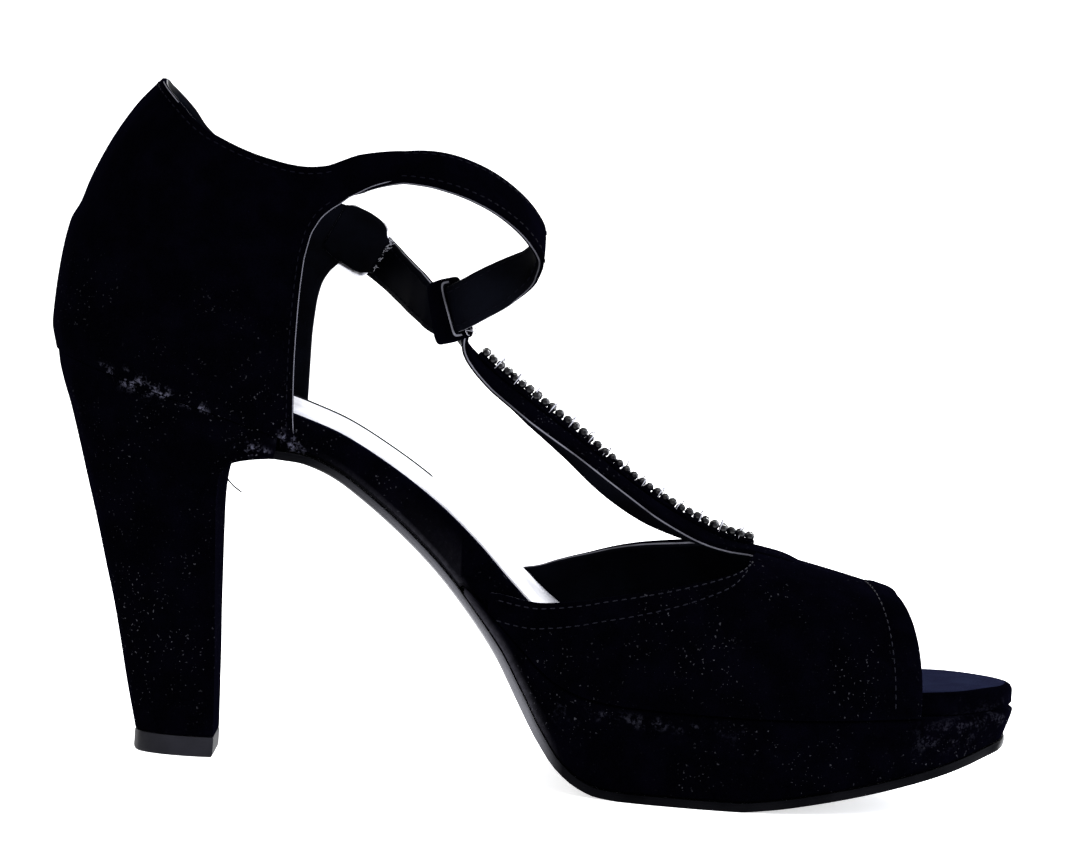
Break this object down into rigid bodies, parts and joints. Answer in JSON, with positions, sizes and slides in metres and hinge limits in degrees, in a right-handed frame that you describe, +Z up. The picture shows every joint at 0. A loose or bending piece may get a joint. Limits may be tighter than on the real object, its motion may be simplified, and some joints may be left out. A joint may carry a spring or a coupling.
{
  "type": "high heel shoe",
  "caption": "Left platform shoe with a high covered heel, an open toe, a buckled ankle strap and a beaded T-bar that loops round it.",
  "frame": {"origin": "middle of the flat tread under the ball of the foot, on the floor", "axes": "+X to the toe, +Y to the outer side of the foot, +Z up"},
  "size_m": [0.234, 0.077, 0.1597],
  "materials": {
    "suede": "black suede with a soft nap",
    "sole_leather": "smooth dark sole, slightly glossy",
    "sock_leather": "pale grey smooth lining",
    "tip_rubber": "matt dark rubber",
    "beads": "glossy black beads",
    "metal": "polished nickel"
  },
  "bodies": {
    "root": {"outsole": "sole_leather", "platform": "suede", "insole": "suede", "sock_lining": "sock_leather", "heel": "suede", "heel_tip": "tip_rubber", "quarter": "suede", "vamp": "suede", "bead_trim": "beads", "buckle_frame": "metal", "buckle_prong": "metal"}
  },
  "joints": []
}
